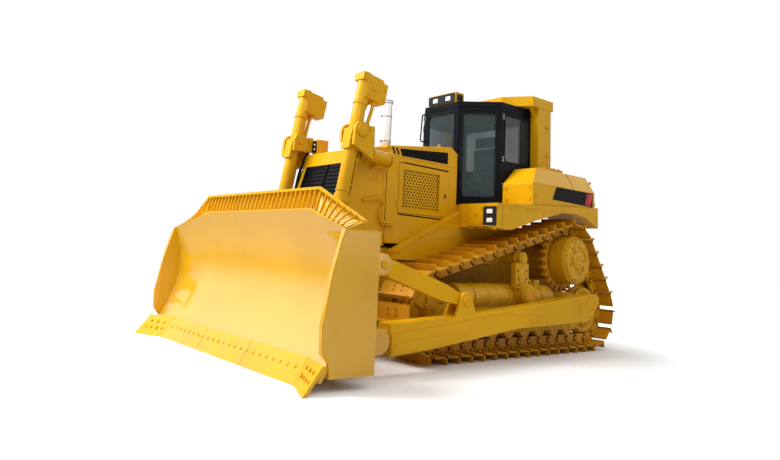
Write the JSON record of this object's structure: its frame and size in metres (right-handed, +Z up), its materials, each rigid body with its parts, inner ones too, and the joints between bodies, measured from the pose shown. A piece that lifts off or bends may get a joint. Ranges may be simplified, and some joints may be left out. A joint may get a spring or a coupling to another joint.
{
  "type": "bulldozer",
  "caption": "Crawler bulldozer with a semi-U blade, high-drive sprockets, push arms, lift cylinders and an enclosed cab under a roll-over canopy.",
  "frame": {"origin": "on the ground under the middle of the bounding box", "axes": "+Z up, -Y forward towards the blade, +X to the machine's left"},
  "size_m": [4.314, 6.84, 3.965],
  "materials": {
    "yellow_paint": "gloss enamel",
    "track_paint": "enamel over steel",
    "black_paint": "semi-gloss black",
    "window_glass": "tinted",
    "rod_chrome": "hard chrome",
    "exhaust_steel": "bright",
    "seat_fabric": "woven cloth",
    "engine_iron": "cast"
  },
  "bodies": {
    "root": {"cab_lamp_bar": "yellow_paint", "cab_roof": "black_paint", "cab_shell": "black_paint", "dash_console": "black_paint", "engine": "engine_iron", "exhaust_stack": "exhaust_steel", "fender_left": "yellow_paint", "fender_right": "yellow_paint", "final_drive_left": "yellow_paint", "final_drive_right": "yellow_paint", "front_idler_left": "yellow_paint", "front_idler_right": "yellow_paint", "fuel_tank": "yellow_paint", "headlamp_left": "yellow_paint", "headlamp_right": "yellow_paint", "hood": "yellow_paint", "lift_yoke_left": "yellow_paint", "lift_yoke_right": "yellow_paint", "main_frame": "yellow_paint", "platform": "yellow_paint", "radiator_grille": "black_paint", "radiator_guard": "yellow_paint", "rear_hitch": "yellow_paint", "rear_idler_left": "yellow_paint", "rear_idler_right": "yellow_paint", "rear_window": "window_glass", "roller_frame_left": "yellow_paint", "roller_frame_right": "yellow_paint", "rops": "yellow_paint", "seat_back": "seat_fabric", "seat_base": "black_paint", "seat_cushion": "seat_fabric", "side_window_left": "window_glass", "side_window_right": "window_glass", "sprocket_left": "track_paint", "sprocket_right": "track_paint", "track_left": "track_paint", "track_right": "track_paint", "windscreen": "window_glass"},
    "blade_group": {"blade": "yellow_paint", "spill_guard": "yellow_paint", "cutting_edge": "yellow_paint", "end_bit_left": "yellow_paint", "end_bit_right": "yellow_paint", "push_arm_left": "yellow_paint", "push_arm_right": "yellow_paint", "brace_left": "yellow_paint", "tilt_cylinder": "yellow_paint", "tilt_rod": "rod_chrome"},
    "lift_barrel_left": {"lift_barrel_left": "yellow_paint"},
    "lift_rod_left": {"lift_rod_left": "rod_chrome"},
    "cab_door_left": {"cab_door_left": "black_paint", "door_glass_left": "window_glass"},
    "engine_door_left": {"engine_door_left": "yellow_paint"},
    "lift_barrel_right": {"lift_barrel_right": "yellow_paint"},
    "lift_rod_right": {"lift_rod_right": "rod_chrome"},
    "cab_door_right": {"cab_door_right": "black_paint", "door_glass_right": "window_glass"},
    "engine_door_right": {"engine_door_right": "yellow_paint"}
  },
  "joints": [
    {"name": "blade_lift", "type": "hinge", "parent": "root", "child": "blade_group", "pos_m": [0, 1.95, 0.77], "axis": [-1, 0, 0], "range_deg": [-6, 14]},
    {"name": "lift_barrel_left_swing", "type": "hinge", "parent": "root", "child": "lift_barrel_left", "pos_m": [0.7, -1.86, 2.86], "axis": [1, 0, 0], "range_deg": [-4.2, 2]},
    {"name": "lift_rod_left_slide", "type": "slide", "parent": "lift_barrel_left", "child": "lift_rod_left", "axis": [0, -0.1705, -0.9854], "range_m": [-1.03, 0.45]},
    {"name": "cab_door_left_hinge", "type": "hinge", "parent": "root", "child": "cab_door_left", "pos_m": [0.8313, 0.89359, 2.90515], "axis": [0, 0, 1], "range_deg": [0, 105]},
    {"name": "engine_door_left_hinge", "type": "hinge", "parent": "root", "child": "engine_door_left", "pos_m": [0.62, -0.967, 2.235], "axis": [0, 0, -1], "range_deg": [0, 100]},
    {"name": "lift_barrel_right_swing", "type": "hinge", "parent": "root", "child": "lift_barrel_right", "pos_m": [-0.7, -1.86, 2.86], "axis": [1, 0, 0], "range_deg": [-4.2, 2]},
    {"name": "lift_rod_right_slide", "type": "slide", "parent": "lift_barrel_right", "child": "lift_rod_right", "axis": [0, -0.1705, -0.9854], "range_m": [-1.03, 0.45]},
    {"name": "cab_door_right_hinge", "type": "hinge", "parent": "root", "child": "cab_door_right", "pos_m": [-0.8313, 0.89359, 2.90515], "axis": [0, 0, -1], "range_deg": [0, 105]},
    {"name": "engine_door_right_hinge", "type": "hinge", "parent": "root", "child": "engine_door_right", "pos_m": [-0.62, -0.967, 2.235], "axis": [0, 0, 1], "range_deg": [0, 100]}
  ],
  "couplings": [
    {"joint": "lift_barrel_left_swing", "follows": "blade_lift", "ratio": -0.26982},
    {"joint": "lift_rod_left_slide", "follows": "blade_lift", "m_per_rad": -4.1409},
    {"joint": "lift_barrel_right_swing", "follows": "blade_lift", "ratio": -0.26982},
    {"joint": "lift_rod_right_slide", "follows": "blade_lift", "m_per_rad": -4.1409}
  ]
}
